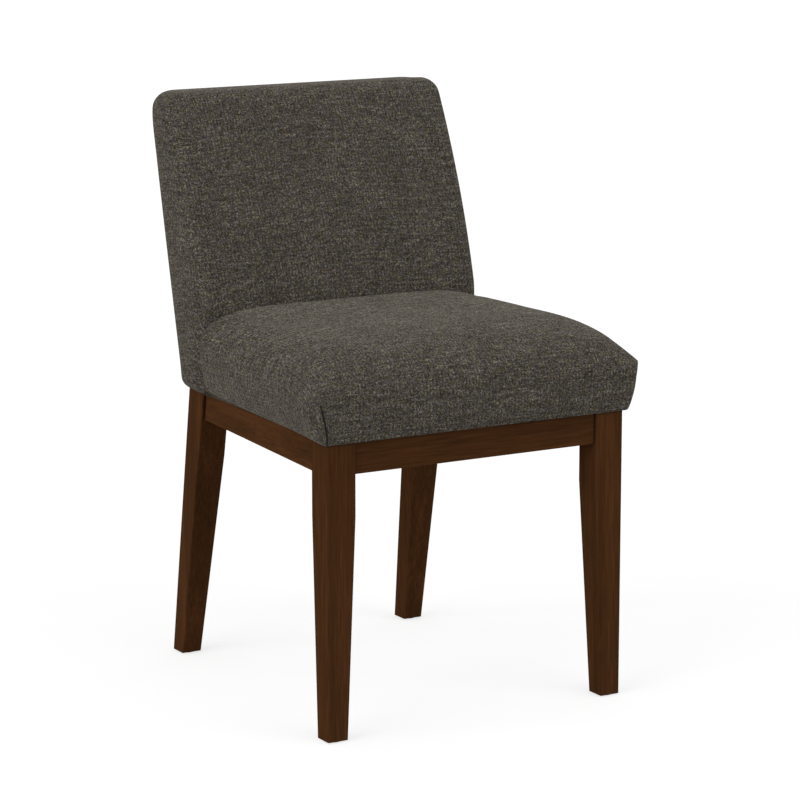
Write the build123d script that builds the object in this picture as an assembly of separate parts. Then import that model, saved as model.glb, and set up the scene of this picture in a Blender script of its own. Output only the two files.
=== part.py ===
from build123d import *
import math
import os

# Upholstered dining chair, millimetres. The design is drawn with y counted from the front legs' front faces
# towards the rear, x across and z up from the floor. At the end it is moved so that the origin lies on the
# floor under the middle of the chair. Pieces are drawn for the right-hand side, +x, and mirrored to the left.

# Legs
front_width = 474.0         # over the outer faces of the front legs
rear_width = 414.0          # over the outer faces of the rear legs
base_depth = 467.0          # front legs' front to rear legs' rear, at the top of the base
base_height = 414.0         # floor to the top of the base
leg_size = 44.0             # square section at the rails
foot_size = 31.0            # square section at the floor
taper_drop = 58.0           # taper starts this far under the rails
rear_leg_depth = 45.5       # rear leg front to rear, at the top of the base
rear_rake = 65.0            # how far the rear feet stand behind the top of the rear legs
leg_ease = 2.0              # rounding on the legs' long edges
glide_diameter = 22.0
glide_thickness = 2.0

# Rails, corner blocks and the fasteners of the base
rail_height = 45.0
rail_thickness = 22.0
rail_setback = 5.0          # rail faces behind the legs' outer faces
rail_ease = 1.0
block_height = 32.0
block_arm = 60.0            # length of a corner block along each rail
block_gap = 2.0             # between a corner block and its leg
block_screw_reach = 36.0    # screw along each arm of a corner block
dowel_diameter = 10.0
dowel_length = 40.0
dowel_spacing = 22.0        # between the two dowels of a joint
dowel_slack = 1.0           # space past each end of a dowel
dowel_clearance = 0.05      # radial
screw_diameter = 4.5
screw_head_diameter = 8.5
screw_head_height = 3.0
screw_grip = 15.0           # wood of the corner block under the screw's head
screw_bite = 14.0           # length of the screw in the rail
screw_pocket = 11.0         # diameter of the pocket for the screw's head
bolt_diameter = 6.0
bolt_head_diameter = 12.0
bolt_head_height = 5.0
bolt_inset = 17.0           # bolt from the block's two inner faces
bolt_hole_clearance = 0.5   # radial, in wood
washer_diameter = 18.0
washer_thickness = 1.6
fastener_clearance = 0.1    # radial, between metal pieces and in pilot holes

# Frame of the upholstered shell
frame_thickness = 22.0
frame_front_width = 70.0
frame_side_width = 50.0
frame_rear_width = 70.0
frame_bolt_margin = 25.0    # wood behind the rear bolts
frame_dowel_diameter = 8.0
frame_dowel_spacing = 20.0
tee_flange_diameter = 19.0
tee_flange_thickness = 1.5
tee_barrel_diameter = 8.0
tee_barrel_length = 10.0
webbing_width = 50.0
webbing_thickness = 1.5
webbing_bearing = 24.0      # how far a strap lies on the wood at each end
lengthwise_straps = 3
crosswise_straps = 4
back_straps = 4
post_width = 40.0
post_depth = 30.0
post_drop = 34.0            # top of the posts below the top of the back
top_rail_height = 60.0
lumbar_rail_height = 60.0
lumbar_rail_lift = 30.0     # lumbar rail above the seat's webbing

# Upholstery
cover_thickness = 1.6
batting_thickness = 10.0
dust_cover_thickness = 0.8
dust_cover_margin = 9.0     # dust cover inside the legs' outer faces
hem_width = 26.0            # cover turned under the frame
shell_overhang = 5.0        # lower edge of the cover past the legs
tuck_height = 18.0          # rounding at the lower edge of the covers
tuck_share = 0.72           # part of the sides' swell that is reached at the top of that rounding
layer_gap = 0.3             # between curved layers
seat_side_swell = 21.0      # sides past the lower edge, at the seat's widest
seat_front_swell = 9.0
seat_edge_height = 68.0     # lower edge up to the seat's widest line
seat_crown = 56.0           # widest line up to the top of the seat
crown_flat_width = 190.0    # flat middle of the crown, across
crown_flat_depth = 188.0    # the same, from the crease to the front
seat_corner = 20.0          # rounding of the front corners in plan
crown_corner = 60.0         # the same at the top of the crown
back_height = 838.0         # floor to the top of the back
back_side_overhang = 27.0   # back's sides past the rear legs' outer faces
back_lean = 13.3            # degrees
back_overhang = 1.0         # outside back behind the rear legs, at the base
back_depth_seat = 123.0     # front to rear at the top of the seat
back_depth_top = 79.0
back_front_corner = 24.0    # roundings in plan
back_rear_corner = 44.0
back_top_edge = 24.0
corner_loss = 0.7           # how much the roundings in plan shrink on the way over the top edge
corner_share = 0.45         # largest rounding in plan, as a part of the depth there
rear_pad_depth = 16.0       # padding and cover behind the posts
crease_gap = 0.8            # between the seat and the back
panel_side_margin = 36.0    # outside back panel inside the back's sides
panel_margin = 30.0         # panel below the top of the back and above its lower edge
panel_reach = 8.0           # how far the panel's edge goes into the rounding
staple_width = 10.0
staple_wire = 0.7
staple_pitch = 46.0
staple_inset = 36.0         # staples inside the dust cover's edge

# Levels at which the soft forms are drawn, as angles around their roundings
tuck_angles = (0, 30, 60, 90)
crown_angles = (0, 15, 30, 45, 60, 75, 90)
edge_angles = (0, 30, 60, 90)
back_levels = 5             # levels between the seat and the top edge

# Heights and planes that follow from these
rail_bottom = base_height - rail_height
taper_start = rail_bottom - taper_drop
shell_bottom = base_height + dust_cover_thickness
frame_bottom = shell_bottom + cover_thickness
frame_top = frame_bottom + frame_thickness
deck_top = frame_top + 2 * webbing_thickness
seat_widest = shell_bottom + seat_edge_height
seat_top = seat_widest + seat_crown
posts_top = back_height - post_drop
lean_slope = math.tan(math.radians(back_lean))
front_leg_inside = front_width / 2 - leg_size
rear_leg_inside = rear_width / 2 - leg_size
front_rail_inside = rail_setback + rail_thickness
rear_rail_inside = base_depth - rail_setback - rail_thickness
back_half_width = rear_width / 2 + back_side_overhang
panel_half_width = back_half_width - panel_side_margin


def between(start, end, share):
    return start + (end - start) * share


def rear_leg_front(z):
    foot = base_depth + rear_rake - foot_size
    return between(foot, base_depth - rear_leg_depth, z / base_height)


def rear_leg_rear(z):
    return between(base_depth + rear_rake, base_depth, z / base_height)


def half_width(y):
    # half of the base's plan, through the legs' outer faces
    return between(front_width, rear_width, y / base_depth) / 2


def rail_outside(y):
    share = (y - leg_size) / (base_depth - rear_leg_depth - leg_size)
    return between(front_width, rear_width, share) / 2 - rail_setback


def rail_inside(y):
    return rail_outside(y) - rail_thickness


def outside_back(z):
    return base_depth + back_overhang + lean_slope * (z - base_height)


def post_rear(z):
    return outside_back(z) - rear_pad_depth


def post_front(z):
    return post_rear(z) - post_depth


def inside_back(z):
    # upright behind the seat, then leaning, with a pad that thins towards the top
    height = max(z, seat_top)
    rise = (height - seat_top) / (back_height - seat_top)
    depth = back_depth_seat - (back_depth_seat - back_depth_top) * rise ** 2
    return outside_back(height) - depth


crease = inside_back(seat_top)


def plan_prism(points, bottom, top):
    outline = make_face(Polyline(*points, close=True))
    return extrude(Plane.XY.offset(bottom) * outline, top - bottom)


def side_prism(points, left, right):
    # an outline of (y, z) points, carried along x
    outline = make_face(Polyline(*points, close=True))
    return extrude(Plane.YZ.offset(left) * outline, right - left)


def leaning_slab(front_face, rear_face, bottom, top, left, right):
    # a slab between two faces that are given as y at a height
    points = [
        (front_face(bottom), bottom),
        (rear_face(bottom), bottom),
        (rear_face(top), top),
        (front_face(top), top),
    ]
    return side_prism(points, left, right)


def rod(x, y, z, axis, radius, length):
    # a round rod centred on a point, along one of the axes
    turn = {"X": Rot(Y=90), "Y": Rot(X=90), "Z": Rot(Z=0)}[axis]
    return Pos(x, y, z) * turn * Cylinder(radius, length)


def rod_between(x, y, z, axis, radius, start, end):
    # the same, from start to end along its axis
    middle = (start + end) / 2
    place = {"X": (middle, y, z), "Y": (x, middle, z), "Z": (x, y, middle)}[axis]
    return rod(*place, axis, radius, abs(end - start))


def left_of(shape):
    return mirror(shape, about=Plane.YZ)


def both_sides(shapes):
    return shapes + [left_of(shape) for shape in shapes]


def cut(shape, tools):
    for tool in tools:
        shape = shape - tool
    return shape


def eased(shape, radius, shortest):
    edges = shape.edges().filter_by(lambda edge: edge.length > shortest)
    return fillet(edges, radius)


# Joints of the base: two dowels at each end of each rail
dowel_heights = [rail_bottom + (rail_height + side * dowel_spacing) / 2 for side in (-1, 1)]
front_rail_middle = rail_setback + rail_thickness / 2
rear_rail_middle = base_depth - front_rail_middle
base_dowel_places = []
for z in dowel_heights:
    side_front = rail_outside(leg_size) - rail_thickness / 2
    side_rear = rail_outside(rear_leg_front(base_height)) - rail_thickness / 2
    base_dowel_places.append((front_leg_inside, front_rail_middle, z, "X"))
    base_dowel_places.append((rear_leg_inside, rear_rail_middle, z, "X"))
    base_dowel_places.append((side_front, leg_size, z, "Y"))
    base_dowel_places.append((side_rear, rear_leg_front(z), z, "Y"))


def dowels(places, diameter):
    return both_sides([rod(*place, diameter / 2, dowel_length) for place in places])


def dowel_holes(places, diameter):
    radius = diameter / 2 + dowel_clearance
    return both_sides([rod(*place, radius, dowel_length + 2 * dowel_slack) for place in places])


base_holes = dowel_holes(base_dowel_places, dowel_diameter)


def leg_section(z, left, right, front, rear):
    middle = Pos((left + right) / 2, (front + rear) / 2, z)
    return middle * RectangleRounded(right - left, rear - front, leg_ease)


def front_leg():
    # upright outer faces, with a taper on the two inner faces
    outside = front_width / 2
    sections = []
    for z, size in ((glide_thickness, foot_size), (taper_start, leg_size), (base_height, leg_size)):
        sections.append(leg_section(z, outside - size, outside, 0, size))
    return loft(sections, ruled=True)


def rear_leg():
    # raked, with a straight taper front to rear and the front legs' taper on the inner face
    outside = rear_width / 2
    sections = []
    for z, size in ((glide_thickness, foot_size), (taper_start, leg_size), (base_height, leg_size)):
        sections.append(leg_section(z, outside - size, outside, rear_leg_front(z), rear_leg_rear(z)))
    return loft(sections, ruled=True)


def foot_glide(x, y):
    return rod_between(x, y, 0, "Z", glide_diameter / 2, 0, glide_thickness)


def cross_rail(half_length, front):
    points = [
        (-half_length, front),
        (half_length, front),
        (half_length, front + rail_thickness),
        (-half_length, front + rail_thickness),
    ]
    return eased(plan_prism(points, rail_bottom, base_height), rail_ease, 2 * rail_height)


def side_rail():
    end = base_depth
    points = [
        (rail_outside(leg_size), leg_size),
        (rail_outside(end), end),
        (rail_inside(end), end),
        (rail_inside(leg_size), leg_size),
    ]
    blank = plan_prism(points, rail_bottom, base_height)
    behind = leaning_slab(rear_leg_front, lambda z: 2 * base_depth, 0, 2 * base_height, 0, front_width)
    return eased(blank - behind, rail_ease, 2 * rail_height)


def corner(leg_inside, rail_face, leg_face, way):
    # a corner block's plan, its bolt and its two screws; way is +1 at the front and -1 at the rear
    near = leg_face + way * block_gap
    far = near + way * block_arm
    edge = leg_inside - block_gap
    points = [
        (edge, rail_face),
        (edge - block_arm, rail_face),
        (rail_inside(far), far),
        (rail_inside(near), near),
        (edge, near),
    ]
    middle = base_height - block_height / 2
    screw_x = edge - block_screw_reach
    screw_y = near + way * block_screw_reach
    return {
        "points": points,
        "bolt": (edge - bolt_inset, rail_face + way * bolt_inset),
        "screws": [
            (screw_x, rail_face, middle, "Y", way),
            (rail_inside(screw_y), screw_y, middle, "X", -1),
        ],
    }


front_corner = corner(front_leg_inside, front_rail_inside, leg_size, 1)
rear_corner = corner(rear_leg_inside, rear_rail_inside, rear_leg_front(base_height), -1)
corners = [front_corner, rear_corner]


def along_screw(place, radius, start, end):
    # a rod on a screw's axis, counted from the joint, plus towards the screw's head
    x, y, z, axis, way = place
    joint = x if axis == "X" else y
    return rod_between(x, y, z, axis, radius, joint + way * start, joint + way * end)


def screw(place):
    shank = along_screw(place, screw_diameter / 2, -screw_bite, screw_grip)
    head = along_screw(place, screw_head_diameter / 2, screw_grip, screw_grip + screw_head_height)
    return shank + head


def screw_hole(place):
    radius = screw_diameter / 2 + fastener_clearance
    return along_screw(place, radius, -screw_bite - dowel_slack, screw_grip)


def screw_pocket_cut(place):
    return along_screw(place, screw_pocket / 2, screw_grip, screw_grip + block_arm)


screw_places = [place for item in corners for place in item["screws"]]
screw_holes = [screw_hole(place) for place in screw_places]
bolt_places = [item["bolt"] for item in corners]


def bolt_bore(place, bottom, top):
    radius = bolt_diameter / 2 + bolt_hole_clearance
    return rod_between(*place, 0, "Z", radius, bottom, top)


def corner_block(item):
    block = plan_prism(item["points"], base_height - block_height, base_height)
    tools = [screw_hole(place) for place in item["screws"]]
    tools += [screw_pocket_cut(place) for place in item["screws"]]
    tools.append(bolt_bore(item["bolt"], base_height - 2 * block_height, base_height))
    return cut(block, tools)


washer_top = base_height - block_height
bolt_seat = washer_top - washer_thickness


def washer(place):
    disc = rod_between(*place, 0, "Z", washer_diameter / 2, bolt_seat, washer_top)
    return disc - bolt_bore(place, bolt_seat, washer_top)


def seat_bolt(place):
    shank = rod_between(*place, 0, "Z", bolt_diameter / 2, bolt_seat, frame_top)
    head = rod_between(*place, 0, "Z", bolt_head_diameter / 2, bolt_seat - bolt_head_height, bolt_seat)
    return shank + head


def tee_nut(place):
    flange = rod_between(
        *place, 0, "Z", tee_flange_diameter / 2, frame_top, frame_top + tee_flange_thickness)
    barrel = rod_between(*place, 0, "Z", tee_barrel_diameter / 2, frame_top - tee_barrel_length, frame_top)
    radius = bolt_diameter / 2 + fastener_clearance
    bore = rod_between(*place, 0, "Z", radius, frame_bottom, deck_top)
    return flange + barrel - bore


def tee_hole(place):
    radius = tee_barrel_diameter / 2 + fastener_clearance
    return rod_between(*place, 0, "Z", radius, frame_bottom - dowel_slack, frame_top)


frame_bores = both_sides([tee_hole(place) for place in bolt_places])

# Frame of the shell
post_outside = half_width(base_depth)
post_inside = post_outside - post_width
rear_frame_rear = rear_corner["bolt"][1] + frame_bolt_margin
rear_frame_front = rear_frame_rear - frame_rear_width
frame_middle = (frame_bottom + frame_top) / 2
lumbar_bottom = deck_top + lumbar_rail_lift
lumbar_top = lumbar_bottom + lumbar_rail_height
top_rail_bottom = posts_top - top_rail_height


def frame_inside(y):
    return half_width(y) - frame_side_width


def back_dowel(z):
    return (post_inside, (post_front(z) + post_rear(z)) / 2, z, "X")


# the rear rail's dowel lies a dowel's width ahead of those that go into the post
rear_dowel = post_front(frame_middle) - dowel_length / 2 - dowel_slack - frame_dowel_diameter
frame_dowel_places = [
    back_dowel(lumbar_bottom + (lumbar_rail_height - frame_dowel_spacing) / 2),
    back_dowel(lumbar_bottom + (lumbar_rail_height + frame_dowel_spacing) / 2),
    back_dowel(top_rail_bottom + (top_rail_height - frame_dowel_spacing) / 2),
    back_dowel(top_rail_bottom + (top_rail_height + frame_dowel_spacing) / 2),
    (frame_inside(rear_dowel), rear_dowel, frame_middle, "X"),
]
for side in (-1, 1):
    offset = side * frame_dowel_spacing / 2
    front_joint = frame_inside(frame_front_width) + frame_side_width / 2 + offset
    post_joint = post_inside + post_width / 2 + offset
    frame_dowel_places.append((front_joint, frame_front_width, frame_middle, "Y"))
    frame_dowel_places.append((post_joint, post_front(frame_middle), frame_middle, "Y"))
frame_holes = dowel_holes(frame_dowel_places, frame_dowel_diameter)


def seat_frame_front():
    rear = frame_front_width
    points = [
        (-half_width(0), 0),
        (half_width(0), 0),
        (half_width(rear), rear),
        (-half_width(rear), rear),
    ]
    return plan_prism(points, frame_bottom, frame_top)


def seat_frame_side():
    front = frame_front_width
    end = base_depth
    points = [
        (half_width(front), front),
        (half_width(end), end),
        (frame_inside(end), end),
        (frame_inside(front), front),
    ]
    blank = plan_prism(points, frame_bottom, frame_top)
    behind = leaning_slab(post_front, lambda z: 2 * base_depth, 0, back_height, 0, front_width)
    return blank - behind


def seat_frame_rear():
    points = [
        (-frame_inside(rear_frame_front), rear_frame_front),
        (frame_inside(rear_frame_front), rear_frame_front),
        (frame_inside(rear_frame_rear), rear_frame_rear),
        (-frame_inside(rear_frame_rear), rear_frame_rear),
    ]
    return plan_prism(points, frame_bottom, frame_top)


def back_post():
    return leaning_slab(post_front, post_rear, frame_bottom, posts_top, post_inside, post_outside)


def back_rail(bottom, top):
    return leaning_slab(post_front, post_rear, bottom, top, -post_inside, post_inside)


def spread(count, start, end):
    # middles of straps that share a length evenly
    pitch = (end - start) / count
    return [start + pitch * (index + 0.5) for index in range(count)]


def lengthwise_webbing():
    reach = rear_corner["bolt"][0] - tee_flange_diameter / 2
    front = frame_front_width - webbing_bearing
    rear = rear_frame_front + webbing_bearing
    straps = []
    for x in spread(lengthwise_straps, -reach, reach):
        left = x - webbing_width / 2
        right = x + webbing_width / 2
        points = [(left, front), (right, front), (right, rear), (left, rear)]
        straps.append(plan_prism(points, frame_top, frame_top + webbing_thickness))
    return straps


def crosswise_webbing():
    straps = []
    for y in spread(crosswise_straps, frame_front_width, rear_frame_front):
        front = y - webbing_width / 2
        rear = y + webbing_width / 2
        reach = frame_inside(y) + webbing_bearing
        points = [(-reach, front), (reach, front), (reach, rear), (-reach, rear)]
        straps.append(plan_prism(points, frame_top + webbing_thickness, deck_top))
    return straps


def back_webbing():
    straps = []
    reach = post_inside + webbing_bearing
    for z in spread(back_straps, lumbar_top, top_rail_bottom):
        bottom = z - webbing_width / 2
        top = z + webbing_width / 2
        straps.append(leaning_slab(webbing_front, post_front, bottom, top, -reach, reach))
    return straps


def webbing_front(z):
    return post_front(z) - webbing_thickness


def rounded_plan(z, front, rear, half_front, half_rear, front_radius, rear_radius):
    # a plan outline at a height, with rounded corners where a radius is given
    points = [(-half_front, front), (half_front, front), (half_rear, rear), (-half_rear, rear)]
    face = Plane.XY.offset(z) * make_face(Polyline(*points, close=True))
    corners_by_y = face.vertices().sort_by(Axis.Y)
    face = fillet(corners_by_y[:2], front_radius)
    if rear_radius > 0:
        face = fillet(face.vertices().sort_by(Axis.Y)[-2:], rear_radius)
    return face


def seat_form(inset):
    # crowned seat: tucked in at the lower edge, widest at the front edge line, domed above it
    sections = []
    rear = crease - crease_gap - inset
    widest = seat_widest
    bottom = shell_bottom + inset

    def level(z, side_out, front_out, fall):
        front = between(-front_out, crease - crown_flat_depth, fall) + inset
        half_front = between(half_width(front) + side_out, crown_flat_width / 2, fall) - inset
        half_rear = between(half_width(rear) + side_out, crown_flat_width / 2, fall) - inset
        radius = between(seat_corner, crown_corner, fall)
        sections.append(rounded_plan(z, front, rear, half_front, half_rear, radius, 0))

    for angle in tuck_angles:
        turn = math.radians(angle)
        share = tuck_share * math.sin(turn)
        z = bottom + (tuck_height - inset) * (1 - math.cos(turn))
        side_out = shell_overhang + seat_side_swell * share
        front_out = shell_overhang + seat_front_swell * share
        level(z, side_out, front_out, 0)
    for angle in crown_angles:
        turn = math.radians(angle)
        z = widest + (seat_crown - inset) * math.sin(turn)
        level(z, shell_overhang + seat_side_swell, shell_overhang + seat_front_swell, 1 - math.cos(turn))
    return loft(sections, ruled=True)


def back_form(inset):
    # leaning back: tucked in at the lower edge, with rounded edges at the front, rear and top
    sections = []
    bottom = shell_bottom + inset
    edge_start = back_height - back_top_edge
    front_radius = back_front_corner - inset
    rear_radius = back_rear_corner - inset

    def level(z, half_front, half_rear, fall):
        front = inside_back(z) + inset + fall
        rear = outside_back(z) - inset - fall
        widest_radius = corner_share * (rear - front)
        radii = [min(radius - corner_loss * fall, widest_radius) for radius in (front_radius, rear_radius)]
        sections.append(rounded_plan(z, front, rear, half_front - inset, half_rear - inset, *radii))

    for angle in tuck_angles:
        turn = math.radians(angle)
        share = math.sin(turn)
        z = bottom + (tuck_height - inset) * (1 - math.cos(turn))
        half_front = between(half_width(crease) + shell_overhang, back_half_width, share)
        half_rear = between(half_width(base_depth) + shell_overhang, back_half_width, share)
        level(z, half_front, half_rear, 0)
    level(seat_top, back_half_width, back_half_width, 0)
    for step in range(1, back_levels):
        z = between(seat_top, edge_start, step / back_levels)
        level(z, back_half_width, back_half_width, 0)
    for angle in edge_angles:
        turn = math.radians(angle)
        fall = (back_top_edge - inset) * (1 - math.cos(turn))
        z = edge_start + (back_top_edge - inset) * math.sin(turn)
        level(z, back_half_width - fall, back_half_width - fall, fall)
    return loft(sections, ruled=True)


# Spaces that the frame takes up inside the padding
frame_points = [
    (-half_width(0), 0),
    (half_width(0), 0),
    (half_width(base_depth), base_depth),
    (-half_width(base_depth), base_depth),
]
frame_space = plan_prism(frame_points, frame_bottom, deck_top)
back_frame_space = leaning_slab(
    webbing_front, post_rear, frame_bottom, posts_top, -post_outside, post_outside)
behind_posts = leaning_slab(
    post_rear, lambda z: 2 * base_depth, 0, 2 * back_height, -front_width, front_width)
above_deck = plan_prism(
    [(-front_width, -base_depth), (front_width, -base_depth),
     (front_width, 2 * base_depth), (-front_width, 2 * base_depth)], deck_top, 2 * back_height)


def hem_opening():
    margin = hem_width - shell_overhang
    front = margin
    rear = outside_back(shell_bottom) - hem_width
    points = [
        (-half_width(front) + margin, front),
        (half_width(front) - margin, front),
        (half_width(rear) - margin, rear),
        (-half_width(rear) + margin, rear),
    ]
    return plan_prism(points, base_height, frame_bottom + frame_thickness)


seat_outer = seat_form(0)
seat_inner = seat_form(cover_thickness)
seat_core = seat_form(cover_thickness + batting_thickness)
back_outer = back_form(0)
back_inner = back_form(cover_thickness)
back_core = back_form(cover_thickness + batting_thickness)
opening = hem_opening()


def panel_zone(reach):
    return leaning_slab(
        lambda z: outside_back(z) - reach, lambda z: outside_back(z) + reach,
        shell_bottom + panel_margin, back_height - panel_margin, -panel_half_width, panel_half_width)


def seat_cover():
    return cut(seat_outer, [seat_inner, frame_space, opening])


def seat_foam():
    return seat_core & above_deck


def seat_batting():
    lining = seat_form(cover_thickness + layer_gap)
    shell = seat_form(cover_thickness + batting_thickness - layer_gap)
    return cut(lining, [shell & above_deck, frame_space])


def back_shell():
    return cut(back_outer, [back_inner, frame_space, opening])


def back_foam():
    return cut(back_core, [behind_posts, back_frame_space, frame_space])


def back_batting():
    lining = back_form(cover_thickness + layer_gap)
    shell = back_form(cover_thickness + batting_thickness - layer_gap)
    return cut(lining, [shell, behind_posts, back_frame_space, frame_space])


def back_rear_pad():
    lining = back_form(cover_thickness + layer_gap)
    return cut(lining & behind_posts, [frame_space])


def dust_cover():
    front = dust_cover_margin
    rear = base_depth - dust_cover_margin
    points = [
        (-half_width(front) + dust_cover_margin, front),
        (half_width(front) - dust_cover_margin, front),
        (half_width(rear) - dust_cover_margin, rear),
        (-half_width(rear) + dust_cover_margin, rear),
    ]
    sheet = plan_prism(points, base_height, shell_bottom)
    return cut(sheet, both_sides([bolt_bore(place, 0, back_height) for place in bolt_places]))


def staples():
    # wires along the front and the sides, against the underside of the dust cover
    crowns = []
    front = dust_cover_margin + staple_inset
    rear = rear_corner["points"][2][1]
    row = front_corner["points"][1][0]
    count = int(2 * row / staple_pitch)
    for x in spread(count, -row, row):
        crowns.append(rod(x, front, base_height - staple_wire / 2, "X", staple_wire / 2, staple_width))
    side_front = front_corner["points"][2][1]
    count = int((rear - side_front) / staple_pitch)
    for y in spread(count, side_front, rear):
        x = half_width(y) - dust_cover_margin - staple_inset
        wire = rod(x, y, base_height - staple_wire / 2, "Y", staple_wire / 2, staple_width)
        crowns.extend(both_sides([wire]))
    return crowns


nodes = {}


def add_pair(name, shape):
    nodes[name + "_right"] = shape
    nodes[name + "_left"] = left_of(shape)


front_foot = front_width / 2 - foot_size / 2
rear_foot = rear_width / 2 - foot_size / 2
add_pair("front_leg", cut(front_leg(), base_holes))
add_pair("rear_leg", cut(rear_leg(), base_holes))
add_pair("front_foot_glide", foot_glide(front_foot, foot_size / 2))
add_pair("rear_foot_glide", foot_glide(rear_foot, base_depth + rear_rake - foot_size / 2))
rail_cuts = base_holes + both_sides(screw_holes)
nodes["front_rail"] = cut(cross_rail(front_leg_inside, rail_setback), rail_cuts)
nodes["rear_rail"] = cut(cross_rail(rear_leg_inside, rear_rail_inside), rail_cuts)
add_pair("side_rail", cut(side_rail(), rail_cuts))
add_pair("front_corner_block", corner_block(front_corner))
add_pair("rear_corner_block", corner_block(rear_corner))
nodes["base_dowels"] = dowels(base_dowel_places, dowel_diameter)
nodes["corner_block_screws"] = both_sides([screw(place) for place in screw_places])
nodes["seat_bolts"] = both_sides([seat_bolt(place) for place in bolt_places])
nodes["seat_bolt_washers"] = both_sides([washer(place) for place in bolt_places])
nodes["tee_nuts"] = both_sides([tee_nut(place) for place in bolt_places])
frame_cuts = frame_holes + frame_bores
nodes["seat_frame_front"] = cut(seat_frame_front(), frame_cuts)
nodes["seat_frame_rear"] = cut(seat_frame_rear(), frame_cuts)
add_pair("seat_frame", cut(seat_frame_side(), frame_cuts))
add_pair("back_post", cut(back_post(), frame_holes))
nodes["back_top_rail"] = cut(back_rail(top_rail_bottom, posts_top), frame_holes)
nodes["back_lumbar_rail"] = cut(back_rail(lumbar_bottom, lumbar_top), frame_holes)
nodes["frame_dowels"] = dowels(frame_dowel_places, frame_dowel_diameter)
nodes["seat_webbing_lengthwise"] = lengthwise_webbing()
nodes["seat_webbing_crosswise"] = crosswise_webbing()
nodes["back_webbing"] = back_webbing()
nodes["seat_foam"] = seat_foam()
nodes["seat_batting"] = seat_batting()
nodes["seat_cover"] = seat_cover()
nodes["back_foam"] = back_foam()
nodes["back_batting"] = back_batting()
nodes["back_rear_pad"] = back_rear_pad()
nodes["back_cover"] = back_shell() - panel_zone(panel_reach)
nodes["outside_back_cover"] = back_shell() & panel_zone(panel_reach)
nodes["dust_cover"] = dust_cover()
nodes["dust_cover_staples"] = staples()


def solids_of(shape):
    pieces = shape if isinstance(shape, list) else [shape]
    return [solid for piece in pieces for solid in piece.solids()]


box = Compound([solid for shape in nodes.values() for solid in solids_of(shape)]).bounding_box()
to_origin = Pos(0, -(box.min.Y + box.max.Y) / 2, 0)
os.makedirs("parts", exist_ok=True)
for name, shape in nodes.items():
    export_step(to_origin * Compound(solids_of(shape)), f"parts/{name}.step")
print(len(nodes), "nodes, box", box.size)
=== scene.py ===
import math
import bpy
import numpy as np
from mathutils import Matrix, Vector


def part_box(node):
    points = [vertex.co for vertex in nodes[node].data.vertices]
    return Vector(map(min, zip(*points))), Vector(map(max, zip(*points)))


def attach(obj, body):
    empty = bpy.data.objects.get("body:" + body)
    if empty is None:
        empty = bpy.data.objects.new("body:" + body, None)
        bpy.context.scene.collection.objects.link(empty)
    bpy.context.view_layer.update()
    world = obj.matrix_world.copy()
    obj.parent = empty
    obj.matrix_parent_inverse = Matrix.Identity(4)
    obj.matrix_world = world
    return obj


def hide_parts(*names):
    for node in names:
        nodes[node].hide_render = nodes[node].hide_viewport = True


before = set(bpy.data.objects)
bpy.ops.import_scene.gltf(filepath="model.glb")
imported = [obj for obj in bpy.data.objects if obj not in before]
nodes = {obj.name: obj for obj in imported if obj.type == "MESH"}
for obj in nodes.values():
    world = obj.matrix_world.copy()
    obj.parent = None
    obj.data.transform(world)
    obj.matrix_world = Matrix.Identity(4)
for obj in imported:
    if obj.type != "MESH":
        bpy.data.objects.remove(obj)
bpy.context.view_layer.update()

mm = 0.001
print("frame loaded,", len(nodes), "nodes")


# Places that the chair's solids give
seatLow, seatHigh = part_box("seat_cover")
backLow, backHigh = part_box("back_cover")
panelLow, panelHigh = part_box("outside_back_cover")
sheetLow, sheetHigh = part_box("dust_cover")
frontLegLow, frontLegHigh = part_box("front_leg_right")
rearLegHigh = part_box("rear_leg_right")[1]
frontFace = frontLegLow.y  # front faces of the front legs
crease = backLow.y  # where the seat meets the back
railSetback = 5 * mm  # rear rail in from the legs' rear faces
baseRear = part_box("rear_rail")[1].y + railSetback  # rear faces of the rear legs at the top of the base
hemLine = seatLow.z  # lower edge of the upholstery


def legLine(y):
    # half width over the legs' outer faces: a straight line from the front legs to the rear ones
    share = (y - frontFace) / (baseRear - frontFace)
    return frontLegHigh.x + (rearLegHigh.x - frontLegHigh.x) * share


# Materials
def hexColor(text):
    # sRGB hex to linear: c/12.92 below 0.04045, else ((c + 0.055)/1.055)^2.4
    parts = np.array([int(text[i:i + 2], 16) for i in (1, 3, 5)]) / 255
    linear = np.where(parts <= 0.04045, parts / 12.92, ((parts + 0.055) / 1.055) ** 2.4)
    return (*linear.tolist(), 1.0)


def addNode(tree, kind, settings=None, links=None):
    # one node with its settings and links; an input goes by name or number, and "stops" are the places and
    # colours of a ramp
    node = tree.nodes.new(kind)
    for key, value in (settings or {}).items():
        if key == "stops":
            elements = node.color_ramp.elements
            for index, (place, color) in enumerate(value):
                element = elements[index] if index < 2 else elements.new(place)
                element.position = place
                element.color = hexColor(color)
        elif isinstance(key, int) or key in node.inputs:
            node.inputs[key].default_value = value
        else:
            setattr(node, key, value)
    for key, socket in (links or {}).items():
        tree.links.new(socket, node.inputs[key])
    return node


def newMaterial(name):
    material = bpy.data.materials.new(name)
    material.use_nodes = True
    tree = material.node_tree
    tree.nodes.clear()
    output = addNode(tree, "ShaderNodeOutputMaterial")
    shader = addNode(tree, "ShaderNodeBsdfPrincipled")
    tree.links.new(shader.outputs["BSDF"], output.inputs["Surface"])
    return material, tree, shader


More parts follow.
